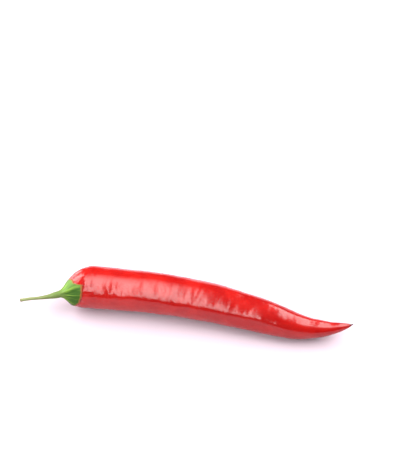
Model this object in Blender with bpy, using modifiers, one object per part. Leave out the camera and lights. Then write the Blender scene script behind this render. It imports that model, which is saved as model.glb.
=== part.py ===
"""A fresh red chilli pepper lying on a surface: the pod, its green calyx and its cut stem.

Units are metres, +Z is up, and the chilli rests on the plane z = 0 with its tip towards +X.
The pod and the calyx are shaped straight first: x is the distance along the pod from its base,
y and z are the offsets from its middle line. bend_place() then lays that shape along the spine,
the bent line that the pod grew on. The side towards -Y is called the front.
"""

import math

import bmesh
import bpy
from mathutils import Vector

MM = 0.001

# Pod: the fruit's own sizes
POD_LENGTH = 129.5 * MM  # along the spine, from the base to the tip
POD_DIAMETER = 18.9 * MM  # just past the shoulder, where it is fattest
SHOULDER_LENGTH = 11.0 * MM  # from the base to the full width
SHOULDER_ROUNDNESS = 0.6  # 0.5 is an ellipse, and more is a pointed shoulder
BODY_TAPER = 0.32  # share of the width that the body would lose from base to tip
TIP_LENGTH = 44.0 * MM  # the last stretch, where it narrows to a point
TIP_DIAMETER = 0.6 * MM
TIP_FULLNESS = 1.6  # above 1, the tip's outline bulges before it narrows
TIP_SHARPNESS = 0.8  # below 1, the very end is blunter

# Pod: how it bends where it lies. Headings are in plan, anticlockwise from +X.
BODY_HEADING_START = math.radians(8.0)
BODY_HEADING_END = math.radians(-9.0)
HOOK_HEADING = math.radians(25.0)  # the tip's own heading
HOOK_LENGTH = 33.0 * MM  # the last stretch, which swings aside and off the surface
HOOK_LIFT = 7.3 * MM  # how far the tip stands off the surface
BASE_LEAN = 3.0 * MM  # the base's point is this far in front of the middle line
BASE_DROOP = 0.5 * MM  # and this far below it
SETTLE = 0.2 * MM  # depth of the flat that the flesh rests on

# Calyx: the cap over the shoulder
CLEARANCE = 0.3 * MM  # between the calyx and the pod, and between the calyx and the stem
CALYX_REACH = 2.2 * MM  # where the plane of the rim crosses the pod's middle line
CALYX_TILT = math.radians(34.0)  # how far the rim's plane is turned from square
CALYX_ROLL = math.radians(28.0)  # the rim reaches furthest at this angle over the front
CALYX_RIM_THICKNESS = 0.6 * MM
CALYX_HEIGHT = 6.4 * MM  # from the middle of the rim to the neck's end
CALYX_LEAN = math.radians(27.0)  # the neck points this far to the front of the pod's line
CALYX_RISE = math.radians(10.0)
CALYX_LOBES = 5
CALYX_LOBE_LENGTH = 0.4 * MM
CALYX_RIB_HEIGHT = 0.25 * MM

# Stem
STEM_LENGTH = 17.1 * MM  # from the calyx to the cut end
STEM_FOOT_DIAMETER = 2.5 * MM  # the calyx's neck ends at this width too
STEM_DIAMETER = 1.4 * MM
STEM_FLARE_LENGTH = 10.0 * MM  # the foot narrows to the stem's own width over this
STEM_END_LEAN = math.radians(0.0)  # what is left of the calyx's lean at the cut end
STEM_END_DROOP = math.radians(18.0)

# Fineness of the meshes
SPINE_STEP = 0.5 * MM
POD_STATIONS = 52
POD_SIDES = 30
CALYX_SIDES = 40
CALYX_RINGS = 8
STEM_STATIONS = 12
STEM_BEVEL_RESOLUTION = 2
BISECTIONS = 30


def smooth(share):
    """Ease from 0 to 1 as share goes from 0 to 1."""
    share = min(1.0, max(0.0, share))
    return share * share * (3.0 - 2.0 * share)


def body_radius(along):
    """The pod's radius at a distance from its base, before its shoulder is rounded."""
    taper = 1.0 - BODY_TAPER * (along / POD_LENGTH) ** 2
    from_tip = min(1.0, max(0.0, (POD_LENGTH - along) / TIP_LENGTH))
    narrowing = (1.0 - (1.0 - from_tip) ** TIP_FULLNESS) ** TIP_SHARPNESS
    return max(POD_DIAMETER / 2 * taper * narrowing, TIP_DIAMETER / 2)


def pod_radius(along):
    """The pod's radius at a distance from its base."""
    before_full = min(1.0, max(0.0, 1.0 - along / SHOULDER_LENGTH))
    return body_radius(along) * (1.0 - before_full**2) ** SHOULDER_ROUNDNESS


def pod_middle(along):
    """The middle of the pod's section, which leans to the front near the base."""
    lean = min(1.0, max(0.0, 1.0 - along / SHOULDER_LENGTH)) ** 1.5
    return Vector((along, -BASE_LEAN * lean, -BASE_DROOP * lean))


def hook_share(along):
    """How far along the hooked end a distance from the base is, from 0 to 1."""
    return min(1.0, max(0.0, (along - POD_LENGTH + HOOK_LENGTH) / HOOK_LENGTH))


def spine_heading(along):
    body_share = min(1.0, along / (POD_LENGTH - HOOK_LENGTH))
    body = BODY_HEADING_START + (BODY_HEADING_END - BODY_HEADING_START) * body_share
    return body + (HOOK_HEADING - BODY_HEADING_END) * hook_share(along) ** 1.3


def spine_height(along):
    """The spine's height, which keeps the pod's underside on the surface up to the hook."""
    return body_radius(along) - SETTLE + HOOK_LIFT * hook_share(along) ** 2


def make_spine():
    """Points along the spine at even steps, each with the spine's direction there."""
    count = math.ceil(POD_LENGTH / SPINE_STEP)
    step = POD_LENGTH / count
    place = Vector((0.0, 0.0, spine_height(0.0)))
    points = [place.copy()]
    for index in range(count):
        heading = spine_heading((index + 0.5) * step)
        rise = spine_height((index + 1) * step) - spine_height(index * step)
        level = math.sqrt(step**2 - rise**2)
        place += Vector((level * math.cos(heading), level * math.sin(heading), rise))
        points.append(place.copy())
    return points


def bend_place(straight, spine):
    """Where a point of the straight pod lies once the pod is bent along the spine."""
    step = POD_LENGTH / (len(spine) - 1)
    index = min(len(spine) - 2, max(0, int(straight.x / step)))
    onward = (spine[index + 1] - spine[index]).normalized()
    middle = spine[index] + onward * (straight.x - index * step)
    before = spine[max(0, index - 1)]
    after = spine[min(len(spine) - 1, index + 2)]
    direction = (after - before).normalized()
    sideways = Vector((0.0, 0.0, 1.0)).cross(direction).normalized()
    upward = direction.cross(sideways)
    return middle + sideways * straight.y + upward * straight.z


def eased(count):
    """Shares from 0 to 1 that stand closer together at both ends."""
    return [(1.0 - math.cos(math.pi * index / (count - 1))) / 2 for index in range(count)]


def material(name, colour, roughness):
    made = bpy.data.materials.new(name)
    made.use_nodes = True
    shader = made.node_tree.nodes["Principled BSDF"]
    shader.inputs["Base Color"].default_value = (*colour, 1.0)
    shader.inputs["Roughness"].default_value = roughness
    shader.inputs["Metallic"].default_value = 0.0
    made.diffuse_color = (*colour, 1.0)
    return made


def as_mesh_object(drawn, collection):
    """Replace an object by one that holds its evaluated mesh, welded and facing outwards."""
    evaluated = drawn.evaluated_get(bpy.context.evaluated_depsgraph_get())
    mesh = bpy.data.meshes.new_from_object(evaluated)
    name = drawn.name
    bpy.data.objects.remove(drawn)
    part = bpy.data.objects.new(name, mesh)
    collection.objects.link(part)
    work = bmesh.new()
    work.from_mesh(mesh)
    bmesh.ops.remove_doubles(work, verts=work.verts, dist=0.002 * MM)
    bmesh.ops.recalc_face_normals(work, faces=work.faces)
    work.to_mesh(mesh)
    work.free()
    return part


def turned(name, profile, sides, collection):
    """A body turned about the X axis from (distance along X, radius) points."""
    outline = bpy.data.meshes.new(name)
    points = [(along, radius, 0.0) for along, radius in profile]
    outline.from_pydata(points, [(i, i + 1) for i in range(len(points) - 1)], [])
    drawn = bpy.data.objects.new(name, outline)
    collection.objects.link(drawn)
    screw = drawn.modifiers.new("turn", "SCREW")
    screw.axis = "X"
    screw.steps = sides
    screw.render_steps = sides
    screw.use_merge_vertices = True
    screw.merge_threshold = 0.01 * MM
    return as_mesh_object(drawn, collection)


def cut_flat(part, height):
    """Cut the part off below a height and close it with one level face."""
    work = bmesh.new()
    work.from_mesh(part.data)
    cut = bmesh.ops.bisect_plane(
        work,
        geom=[*work.verts, *work.edges, *work.faces],
        plane_co=(0.0, 0.0, height),
        plane_no=(0.0, 0.0, -1.0),
        clear_outer=True,
    )
    rim = [item for item in cut["geom_cut"] if isinstance(item, bmesh.types.BMEdge)]
    bmesh.ops.holes_fill(work, edges=rim)
    bmesh.ops.recalc_face_normals(work, faces=work.faces)
    work.to_mesh(part.data)
    work.free()


def make_pod(spine, collection):
    """The fruit: a turned body, bent along the spine, resting on a narrow flat."""
    profile = [(share * POD_LENGTH, pod_radius(share * POD_LENGTH)) for share in eased(POD_STATIONS)]
    profile.append((POD_LENGTH, 0.0))
    pod = turned("pod", profile, POD_SIDES, collection)
    for vertex in pod.data.vertices:
        leaning = pod_middle(vertex.co.x)
        straight = Vector((vertex.co.x, vertex.co.y + leaning.y, vertex.co.z + leaning.z))
        vertex.co = bend_place(straight, spine)
    cut_flat(pod, 0.0)
    pod.data.shade_smooth()
    pod.data.set_sharp_from_angle(angle=math.radians(40.0))
    pod.data.materials.append(material("ripe_skin", (0.72, 0.018, 0.012), 0.25))
    return pod


def around(angle):
    """The direction at an angle round the pod's line: 0 is the front and 90 degrees is up."""
    return Vector((0.0, -math.cos(angle), math.sin(angle)))


def over_pod(along, angle, height):
    """A point at a height over the straight pod's skin."""
    step = 0.05 * MM
    skin = pod_middle(along) + around(angle) * pod_radius(along)
    further = pod_middle(along + step) + around(angle) * pod_radius(along + step)
    turned_on = pod_middle(along) + around(angle + 0.01) * pod_radius(along)
    outward = (turned_on - skin).cross(further - skin).normalized()
    return skin - outward * height


def neck_direction():
    """The way that the calyx's neck points, away from the straight pod."""
    level = math.cos(CALYX_RISE)
    return Vector((-level * math.cos(CALYX_LEAN), -level * math.sin(CALYX_LEAN), math.sin(CALYX_RISE)))


def neck_end():
    """The middle of the neck's end, straight out from the middle of the rim."""
    angles = [2.0 * math.pi * index / CALYX_SIDES for index in range(CALYX_SIDES)]
    rim = [over_pod(rim_reach(angle), angle, CLEARANCE) for angle in angles]
    return sum(rim, Vector()) / CALYX_SIDES + neck_direction() * CALYX_HEIGHT


def neck_around(angle):
    """The direction at an angle round the calyx's neck, matched to around()."""
    direction = neck_direction()
    across = around(angle)
    return (across - direction * across.dot(direction)).normalized()


def rim_reach(angle):
    """How far along the pod the calyx reaches: to its rim's tilted plane, and a lobe past it."""
    slope = math.tan(CALYX_TILT) * math.cos(angle - CALYX_ROLL)
    nearer, further = 0.0, SHOULDER_LENGTH
    for _ in range(BISECTIONS):
        reach = (nearer + further) / 2
        if reach < CALYX_REACH + slope * pod_radius(reach):
            nearer = reach
        else:
            further = reach
    return nearer + CALYX_LOBE_LENGTH * (0.5 + 0.5 * math.cos(CALYX_LOBES * angle))


def bezier(points, share):
    """A point on the cubic curve with four control points."""
    rest = 1.0 - share
    weights = (rest**3, 3 * rest**2 * share, 3 * rest * share**2, share**3)
    return sum((point * weight for point, weight in zip(points, weights)), Vector())


def calyx_rib(angle):
    """The control points of the cap's outer side at an angle, from the rim to the neck."""
    reach = rim_reach(angle)
    rim = over_pod(reach, angle, CLEARANCE + CALYX_RIM_THICKNESS)
    inward = over_pod(reach * 0.6, angle, CLEARANCE + CALYX_RIM_THICKNESS * 1.6) - rim
    neck = neck_end() + neck_around(angle) * STEM_FOOT_DIAMETER / 2
    return (rim, rim + inward, neck - neck_direction() * CALYX_HEIGHT * 0.3, neck)


def make_calyx(spine, collection):
    """The cap: a closed loft from the neck, down the outside, round the rim and up the inside."""
    angles = [2.0 * math.pi * index / CALYX_SIDES for index in range(CALYX_SIDES)]
    rings = []
    for index in range(CALYX_RINGS + 1):
        share = 1.0 - index / CALYX_RINGS
        swell = CALYX_RIB_HEIGHT * math.sin(math.pi * share)
        ring = []
        for angle in angles:
            rib = 0.5 + 0.5 * math.cos(CALYX_LOBES * angle)
            ring.append(bezier(calyx_rib(angle), share) + neck_around(angle) * swell * rib)
        rings.append(ring)
    for index in range(CALYX_RINGS):
        share = (1.0 - index / CALYX_RINGS) ** 1.8
        rings.append([over_pod(rim_reach(angle) * share, angle, CLEARANCE) for angle in angles])

    work = bmesh.new()
    loops = [[work.verts.new(bend_place(point, spine)) for point in ring] for ring in rings]
    for first, second in zip(loops, loops[1:]):
        for index in range(CALYX_SIDES):
            after = (index + 1) % CALYX_SIDES
            work.faces.new((first[index], first[after], second[after], second[index]))
    work.faces.new(reversed(loops[0]))
    work.faces.new(loops[-1])
    bmesh.ops.recalc_face_normals(work, faces=work.faces)
    mesh = bpy.data.meshes.new("calyx")
    work.to_mesh(mesh)
    work.free()
    calyx = bpy.data.objects.new("calyx", mesh)
    collection.objects.link(calyx)
    mesh.shade_smooth()
    mesh.set_sharp_from_angle(angle=math.radians(40.0))
    mesh.materials.append(material("green_calyx", (0.12, 0.32, 0.04), 0.5))
    return calyx


def make_stem(spine, collection):
    """The stalk: a tapering tube that curves back in line with the pod and droops a little."""
    onward = neck_direction()
    start = bend_place(neck_end() + onward * CLEARANCE, spine)
    outward = (start - bend_place(neck_end(), spine)).normalized()
    first_heading = math.atan2(outward.y, outward.x)
    last_heading = first_heading - (CALYX_LEAN - STEM_END_LEAN)
    first_slope = math.asin(outward.z)
    step = STEM_LENGTH / (STEM_STATIONS - 1)
    curve = bpy.data.curves.new("stem", "CURVE")
    curve.dimensions = "3D"
    curve.bevel_depth = STEM_DIAMETER / 2
    curve.bevel_resolution = STEM_BEVEL_RESOLUTION
    curve.use_fill_caps = True
    line = curve.splines.new("POLY")
    line.points.add(STEM_STATIONS - 1)
    place = start
    for index, point in enumerate(line.points):
        share = index / (STEM_STATIONS - 1)
        flare = 1.0 - smooth(share * STEM_LENGTH / STEM_FLARE_LENGTH)
        point.co = (*place, 1.0)
        point.radius = 1.0 + (STEM_FOOT_DIAMETER / STEM_DIAMETER - 1.0) * flare
        heading = first_heading + (last_heading - first_heading) * smooth(share * 1.4)
        slope = first_slope - (first_slope + STEM_END_DROOP) * smooth(share)
        level = math.cos(slope)
        place = place + step * Vector(
            (level * math.cos(heading), level * math.sin(heading), math.sin(slope))
        )
    drawn = bpy.data.objects.new("stem", curve)
    collection.objects.link(drawn)
    stem = as_mesh_object(drawn, collection)
    stem.data.shade_smooth()
    stem.data.set_sharp_from_angle(angle=math.radians(40.0))
    stem.data.materials.append(material("stem_bark", (0.28, 0.38, 0.12), 0.6))
    return stem


def stand_on_origin(parts):
    """Hang the parts on an empty that puts the middle of their box's underside at the origin."""
    corners = [vertex.co for part in parts for vertex in part.data.vertices]
    low = Vector([min(corner[axis] for corner in corners) for axis in range(3)])
    high = Vector([max(corner[axis] for corner in corners) for axis in range(3)])
    middle = (low + high) / 2
    holder = bpy.data.objects.new("chilli_pepper", None)
    bpy.data.collections["chilli_pepper"].objects.link(holder)
    holder.location = (-middle.x, -middle.y, -low.z)
    for part in parts:
        part.parent = holder


def main():
    for item in list(bpy.data.objects):
        bpy.data.objects.remove(item)
    collection = bpy.data.collections.new("chilli_pepper")
    bpy.context.scene.collection.children.link(collection)
    spine = make_spine()
    parts = [make_pod(spine, collection), make_calyx(spine, collection), make_stem(spine, collection)]
    stand_on_origin(parts)


main()
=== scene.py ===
"""A fresh red chilli pepper lying on a pale studio floor.

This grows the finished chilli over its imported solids: a glossy pod, its green calyx and its cut
stem. Lengths are in metres, +Z is up and the tip points towards +X. The pod and the calyx are
worked out straight first, with x along the pod from its base and y and z across it, and then laid
along the spine, the bent line that the pod grew on. The side towards -Y is called the front, and
an angle round the pod is 0 at the front and 90 degrees on top.
"""

import math

import bmesh
import bpy
from bpy.props import FloatProperty, FloatVectorProperty, IntProperty, PointerProperty
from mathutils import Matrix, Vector, noise


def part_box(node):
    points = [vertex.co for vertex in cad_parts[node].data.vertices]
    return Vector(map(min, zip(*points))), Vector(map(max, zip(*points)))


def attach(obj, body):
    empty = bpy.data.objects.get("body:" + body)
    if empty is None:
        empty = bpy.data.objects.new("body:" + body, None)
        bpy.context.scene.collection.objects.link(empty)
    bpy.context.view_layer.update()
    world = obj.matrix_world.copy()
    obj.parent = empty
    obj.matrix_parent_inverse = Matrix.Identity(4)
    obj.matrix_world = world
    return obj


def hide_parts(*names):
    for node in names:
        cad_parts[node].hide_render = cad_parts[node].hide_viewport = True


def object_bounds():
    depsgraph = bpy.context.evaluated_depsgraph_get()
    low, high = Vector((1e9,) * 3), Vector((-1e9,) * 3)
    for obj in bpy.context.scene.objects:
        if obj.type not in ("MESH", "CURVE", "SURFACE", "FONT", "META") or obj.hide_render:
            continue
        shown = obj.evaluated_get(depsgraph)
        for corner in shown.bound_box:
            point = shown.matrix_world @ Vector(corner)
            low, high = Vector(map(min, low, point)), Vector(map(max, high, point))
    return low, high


bl_info = {
    "name": "Chilli Pepper",
    "version": (1, 0, 0),
    "blender": (4, 5, 0),
    "location": "View3D > Sidebar > Chilli",
    "description": "Grows a red chilli pepper over its packed solids and lights it on a pale floor",
    "category": "Object",
}

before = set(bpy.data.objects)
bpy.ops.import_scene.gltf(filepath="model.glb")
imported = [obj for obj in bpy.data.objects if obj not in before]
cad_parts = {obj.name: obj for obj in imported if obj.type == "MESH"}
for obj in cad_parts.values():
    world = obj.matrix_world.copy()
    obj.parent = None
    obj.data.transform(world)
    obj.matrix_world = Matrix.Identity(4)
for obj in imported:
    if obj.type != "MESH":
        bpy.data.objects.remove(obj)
PACKED_LOW, PACKED_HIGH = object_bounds()

MM = 0.001

# Pod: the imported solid's own sizes, which the skin has to follow
POD_LENGTH = 129.5 * MM
POD_DIAMETER = 18.9 * MM
SHOULDER_LENGTH = 11.0 * MM
SHOULDER_ROUNDNESS = 0.6
BODY_TAPER = 0.32
TIP_LENGTH = 44.0 * MM
TIP_DIAMETER = 0.6 * MM
TIP_FULLNESS = 1.6
TIP_SHARPNESS = 0.8
BODY_HEADING_START = math.radians(8.0)
BODY_HEADING_END = math.radians(-9.0)
HOOK_HEADING = math.radians(25.0)
HOOK_LENGTH = 33.0 * MM
HOOK_SHARPNESS = 1.3
HOOK_LIFT = 7.3 * MM
BASE_LEAN = 3.0 * MM
BASE_DROOP = 0.5 * MM
BASE_LEAN_SHARPNESS = 1.5
SETTLE = 0.2 * MM

# Calyx and stem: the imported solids' own sizes
CLEARANCE = 0.3 * MM
CALYX_REACH = 2.2 * MM
CALYX_TILT = math.radians(34.0)
CALYX_ROLL = math.radians(28.0)
CALYX_HEIGHT = 6.4 * MM
CALYX_LEAN = math.radians(27.0)
CALYX_RISE = math.radians(10.0)
CALYX_LOBES = 5
CALYX_LOBE_LENGTH = 0.4 * MM
STEM_LENGTH = 17.1 * MM
STEM_FOOT_DIAMETER = 2.5 * MM
STEM_DIAMETER = 1.4 * MM
STEM_FLARE_LENGTH = 10.0 * MM
STEM_END_DROOP = math.radians(18.0)
STEM_BEND_HASTE = 1.4  # the stem has turned in line with the pod before its end

# The swelling where the stem grows out of the calyx's neck
NECK_SWELL = 0.28 * MM
NECK_SWELL_LENGTH = 5.0 * MM

# Fineness
SPINE_STEP = 0.1 * MM
BOX_STATIONS = 52
BOX_SIDES = 30
RIM_SAMPLES = 40
STEM_BENDS = 12
BISECTIONS = 30
MERGE_DISTANCE = 0.001 * MM
SHARP_ANGLE = math.radians(50.0)


# ---------------------------------------------------------------- the line that the chilli grew on


def smooth(share):
    """Ease from 0 to 1 as share goes from 0 to 1."""
    share = min(1.0, max(0.0, share))
    return share * share * (3.0 - 2.0 * share)


def eased(count):
    """Shares from 0 to 1 that stand closer together at both ends."""
    return [(1.0 - math.cos(math.pi * index / (count - 1))) / 2 for index in range(count)]


def body_radius(along):
    """The pod's radius at a distance from its base, before its shoulder is rounded."""
    taper = 1.0 - BODY_TAPER * (along / POD_LENGTH) ** 2
    from_tip = min(1.0, max(0.0, (POD_LENGTH - along) / TIP_LENGTH))
    narrowing = (1.0 - (1.0 - from_tip) ** TIP_FULLNESS) ** TIP_SHARPNESS
    return max(POD_DIAMETER / 2 * taper * narrowing, TIP_DIAMETER / 2)


def pod_radius(along):
    """The pod's radius at a distance from its base."""
    before_full = min(1.0, max(0.0, 1.0 - along / SHOULDER_LENGTH))
    return body_radius(along) * (1.0 - before_full**2) ** SHOULDER_ROUNDNESS


def pod_middle(along):
    """The middle of the pod's section, which leans to the front near the base."""
    lean = min(1.0, max(0.0, 1.0 - along / SHOULDER_LENGTH)) ** BASE_LEAN_SHARPNESS
    return Vector((along, -BASE_LEAN * lean, -BASE_DROOP * lean))


def hook_share(along):
    """How far along the hooked end a distance from the base is, from 0 to 1."""
    return min(1.0, max(0.0, (along - POD_LENGTH + HOOK_LENGTH) / HOOK_LENGTH))


def spine_heading(along):
    """The way that the spine points in plan, anticlockwise from +X."""
    body_share = min(1.0, max(0.0, along / (POD_LENGTH - HOOK_LENGTH)))
    body = BODY_HEADING_START + (BODY_HEADING_END - BODY_HEADING_START) * body_share
    return body + (HOOK_HEADING - BODY_HEADING_END) * hook_share(along) ** HOOK_SHARPNESS


def spine_height(along):
    """The spine's height, which keeps the pod's underside on the floor up to the hook."""
    return body_radius(along) - SETTLE + HOOK_LIFT * hook_share(along) ** 2


def spine_direction(along):
    """The way that the spine points, from its heading and its climb."""
    along = min(POD_LENGTH - SPINE_STEP, max(0.0, along))
    climb = (spine_height(along + SPINE_STEP) - spine_height(along)) / SPINE_STEP
    level = math.sqrt(1.0 - climb**2)
    heading = spine_heading(along + SPINE_STEP / 2)
    return Vector((level * math.cos(heading), level * math.sin(heading), climb))


def make_spine():
    """Points along the spine at even steps."""
    count = math.ceil(POD_LENGTH / SPINE_STEP)
    step = POD_LENGTH / count
    place = Vector((0.0, 0.0, spine_height(0.0)))
    points = [place.copy()]
    for index in range(count):
        place += spine_direction(index * step) * step
        points.append(place.copy())
    return points


def section_at(along, spine):
    """The spine's point at a distance from the base, with the section's front and up directions."""
    step = POD_LENGTH / (len(spine) - 1)
    index = min(len(spine) - 2, max(0, int(along / step)))
    onward = (spine[index + 1] - spine[index]).normalized()
    place = spine[index] + onward * (along - index * step)
    direction = spine_direction(along)
    sideways = Vector((0.0, 0.0, 1.0)).cross(direction).normalized()
    return place, -sideways, direction.cross(sideways)


def bend_place(straight, spine):
    """Where a point of the straight pod lies once the pod is bent along the spine."""
    place, front, upward = section_at(straight.x, spine)
    return place - front * straight.y + upward * straight.z


def around(angle):
    """The direction at an angle round the straight pod."""
    return Vector((0.0, -math.cos(angle), math.sin(angle)))


def packed_spine():
    """The spine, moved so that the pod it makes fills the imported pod's box."""
    spine = make_spine()
    skin = []
    for share in eased(BOX_STATIONS):
        along = share * POD_LENGTH
        for index in range(BOX_SIDES):
            outward = around(2.0 * math.pi * index / BOX_SIDES) * pod_radius(along)
            skin.append(bend_place(pod_middle(along) + outward, spine))
    low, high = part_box("pod")
    shift = Vector((0.0, 0.0, low.z))
    for axis in range(2):
        reached = [point[axis] for point in skin]
        shift[axis] = (low[axis] + high[axis] - min(reached) - max(reached)) / 2
    return [point + shift for point in spine]


# ---------------------------------------------------------------- nodes and pieces


def linear(code):
    """An sRGB hex colour as linear red, green and blue."""
    values = [int(code[start : start + 2], 16) / 255 for start in (0, 2, 4)]
    return [v / 12.92 if v <= 0.04045 else ((v + 0.055) / 1.055) ** 2.4 for v in values]


def pick(sockets, key):
    """The socket with a name or a number, among those that the node's settings leave on."""
    usable = [socket for socket in sockets if socket.enabled]
    return usable[key] if isinstance(key, int) else next(s for s in usable if s.name == key)


def add(tree, kind, inputs=None, **settings):
    """Add a node with its settings. Each input is a value, or a node or an output to link from."""
    node = tree.nodes.new(kind)
    node.location.x = 180.0 * len(tree.nodes)
    for name, value in settings.items():
        setattr(node, name, value)
    for key, value in (inputs or {}).items():
        socket = pick(node.inputs, key)
        source = pick(value.outputs, 0) if isinstance(value, bpy.types.Node) else value
        if isinstance(source, bpy.types.NodeSocket):
            tree.links.new(source, socket)
        else:
            socket.default_value = source
    return node


def new_tree(name, inputs):
    """An empty geometry tree with named inputs, and the node that gives them."""
    tree = bpy.data.node_groups.new(name, "GeometryNodeTree")
    tree.interface.new_socket("Geometry", in_out="OUTPUT", socket_type="NodeSocketGeometry")
    tree.interface.new_socket("Geometry", in_out="INPUT", socket_type="NodeSocketGeometry")
    for label, kind in inputs.items():
        tree.interface.new_socket(label, in_out="INPUT", socket_type=kind)
    return tree, add(tree, "NodeGroupInput").outputs


def close_tree(tree, geometry, material):
    """End a tree: smooth shading, real geometry, and the material."""
    shaded = add(tree, "GeometryNodeSetShadeSmooth", {"Geometry": geometry})
    real = add(tree, "GeometryNodeRealizeInstances", {"Geometry": shaded})
    painted = add(tree, "GeometryNodeSetMaterial", {"Geometry": real, "Material": material})
    add(tree, "NodeGroupOutput", {"Geometry": painted})


def grow(name, base, tree, values):
    """A piece with the plain mesh that a geometry tree makes of a base mesh."""
    seedling = bpy.data.objects.new(name, base)
    bpy.context.scene.collection.objects.link(seedling)
    modifier = seedling.modifiers.new(tree.name, "NODES")
    modifier.node_group = tree
    given = [item for item in tree.interface.items_tree if item.in_out == "INPUT"]
    labels = {item.name: item.identifier for item in given}
    for label, value in values.items():
        modifier[labels[label]] = value
    evaluated = seedling.evaluated_get(bpy.context.evaluated_depsgraph_get())
    mesh = bpy.data.meshes.new_from_object(evaluated)
    seedling.modifiers.remove(modifier)
    bpy.data.objects.remove(seedling)
    bpy.data.meshes.remove(base)
    mesh.name = name
    mesh.set_sharp_from_angle(angle=SHARP_ANGLE)
    piece = bpy.data.objects.new(name, mesh)
    bpy.context.scene.collection.objects.link(piece)
    return piece


def hand_over(piece, node):
    """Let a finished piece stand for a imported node."""
    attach(piece, "root")
    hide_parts(node)


# What a section of a piece holds besides its place, in order
SECTION_VALUES = {"front": "FLOAT_VECTOR", "up": "FLOAT_VECTOR", "along": "FLOAT", "girth": "FLOAT"}


def section_line(name, sections):
    """A line mesh with one point a section: (place, front, up, distance along, radius)."""
    line = bpy.data.meshes.new(name)
    places, *columns = zip(*sections)
    line.from_pydata(places, [], [])
    for (label, kind), column in zip(SECTION_VALUES.items(), columns):
        stored = line.attributes.new(label, kind, "POINT")
        if kind == "FLOAT_VECTOR":
            stored.data.foreach_set("vector", [part for direction in column for part in direction])
        else:
            stored.data.foreach_set("value", column)
    return line


def span_sections(tree, line, sides):
    """Nodes for a closed skin over a line's sections.

    The skin keeps its straight coordinates, along, frontward and upward, as "grown".
    """
    count = add(tree, "GeometryNodeAttributeDomainSize", {"Geometry": line})
    ring = add(tree, "FunctionNodeIntegerMath", {0: sides, 1: 1}, operation="ADD")
    grid = add(tree, "GeometryNodeMeshGrid", {"Vertices X": count, "Vertices Y": ring})
    index = add(tree, "GeometryNodeInputIndex")
    row = add(tree, "FunctionNodeIntegerMath", {0: index, 1: ring}, operation="DIVIDE_FLOOR")
    column = add(tree, "FunctionNodeIntegerMath", {0: index, 1: ring}, operation="MODULO")
    turn = add(tree, "ShaderNodeMath", {0: column, 1: sides}, operation="DIVIDE")
    angle = add(tree, "ShaderNodeMath", {0: turn, 1: 2.0 * math.pi}, operation="MULTIPLY")

    stored = {"place": ("FLOAT_VECTOR", add(tree, "GeometryNodeInputPosition"))}
    for name, kind in SECTION_VALUES.items():
        value = add(tree, "GeometryNodeInputNamedAttribute", {"Name": name}, data_type=kind)
        stored[name] = (kind, value)
    at_row = {}
    for name, (kind, value) in stored.items():
        wanted = {"Geometry": line, "Value": value, "Index": row}
        at_row[name] = add(tree, "GeometryNodeSampleIndex", wanted, data_type=kind)

    cosine = add(tree, "ShaderNodeMath", {0: angle}, operation="COSINE")
    sine = add(tree, "ShaderNodeMath", {0: angle}, operation="SINE")
    frontward = add(tree, "ShaderNodeMath", {0: cosine, 1: at_row["girth"]}, operation="MULTIPLY")
    upward = add(tree, "ShaderNodeMath", {0: sine, 1: at_row["girth"]}, operation="MULTIPLY")
    forth = add(tree, "ShaderNodeVectorMath", {0: at_row["front"], "Scale": frontward}, operation="SCALE")
    over = add(tree, "ShaderNodeVectorMath", {0: at_row["up"], "Scale": upward}, operation="SCALE")
    outward = add(tree, "ShaderNodeVectorMath", {0: forth, 1: over}, operation="ADD")
    place = add(tree, "ShaderNodeVectorMath", {0: at_row["place"], 1: outward}, operation="ADD")
    laid = add(tree, "GeometryNodeSetPosition", {"Geometry": grid, "Position": place})

    grown = add(tree, "ShaderNodeCombineXYZ", {"X": at_row["along"], "Y": frontward, "Z": upward})
    keep = {"Geometry": laid, "Name": "grown", "Value": grown}
    kept = add(tree, "GeometryNodeStoreNamedAttribute", keep, data_type="FLOAT_VECTOR")
    return add(tree, "GeometryNodeMergeByDistance", {"Geometry": kept, "Distance": MERGE_DISTANCE})


def unevenness(tree, place, spacing, breadth, depth, seed, detail=1.0):
    """Nodes for a height that wavers by a depth, at a spacing along the piece and a breadth across."""
    sizes = add(tree, "ShaderNodeCombineXYZ", {"X": spacing, "Y": breadth, "Z": breadth})
    cells = add(tree, "ShaderNodeVectorMath", {0: place, 1: sizes}, operation="DIVIDE")
    wanted = {"Vector": cells, "W": seed, "Scale": 1.0, "Detail": detail, "Roughness": 0.5}
    cloud = add(tree, "ShaderNodeTexNoise", wanted, noise_dimensions="4D")
    centred = add(tree, "ShaderNodeMath", {0: cloud, 1: 0.5}, operation="SUBTRACT")
    return add(tree, "ShaderNodeMath", {0: centred, 1: depth}, operation="MULTIPLY")


def raise_skin(tree, geometry, heights):
    """Nodes that push a skin out along its normals by the sum of some heights."""
    total = heights[0]
    for height in heights[1:]:
        total = add(tree, "ShaderNodeMath", {0: total, 1: height}, operation="ADD")
    normal = add(tree, "GeometryNodeInputNormal")
    offset = add(tree, "ShaderNodeVectorMath", {0: normal, "Scale": total}, operation="SCALE")
    return add(tree, "GeometryNodeSetPosition", {"Geometry": geometry, "Offset": offset})


# ---------------------------------------------------------------- pod

# The ripples are deeper by this factor up to the first distance, and plain from the second on
BASE_WRINKLING = 2.2
WRINKLED_TO = 9.6 * MM
PLAIN_FROM = 24.0 * MM

# The hollow on the upper side: where it starts, is deepest and ends
HOLLOW = (66.0 * MM, 86.0 * MM, 116.0 * MM)

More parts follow.
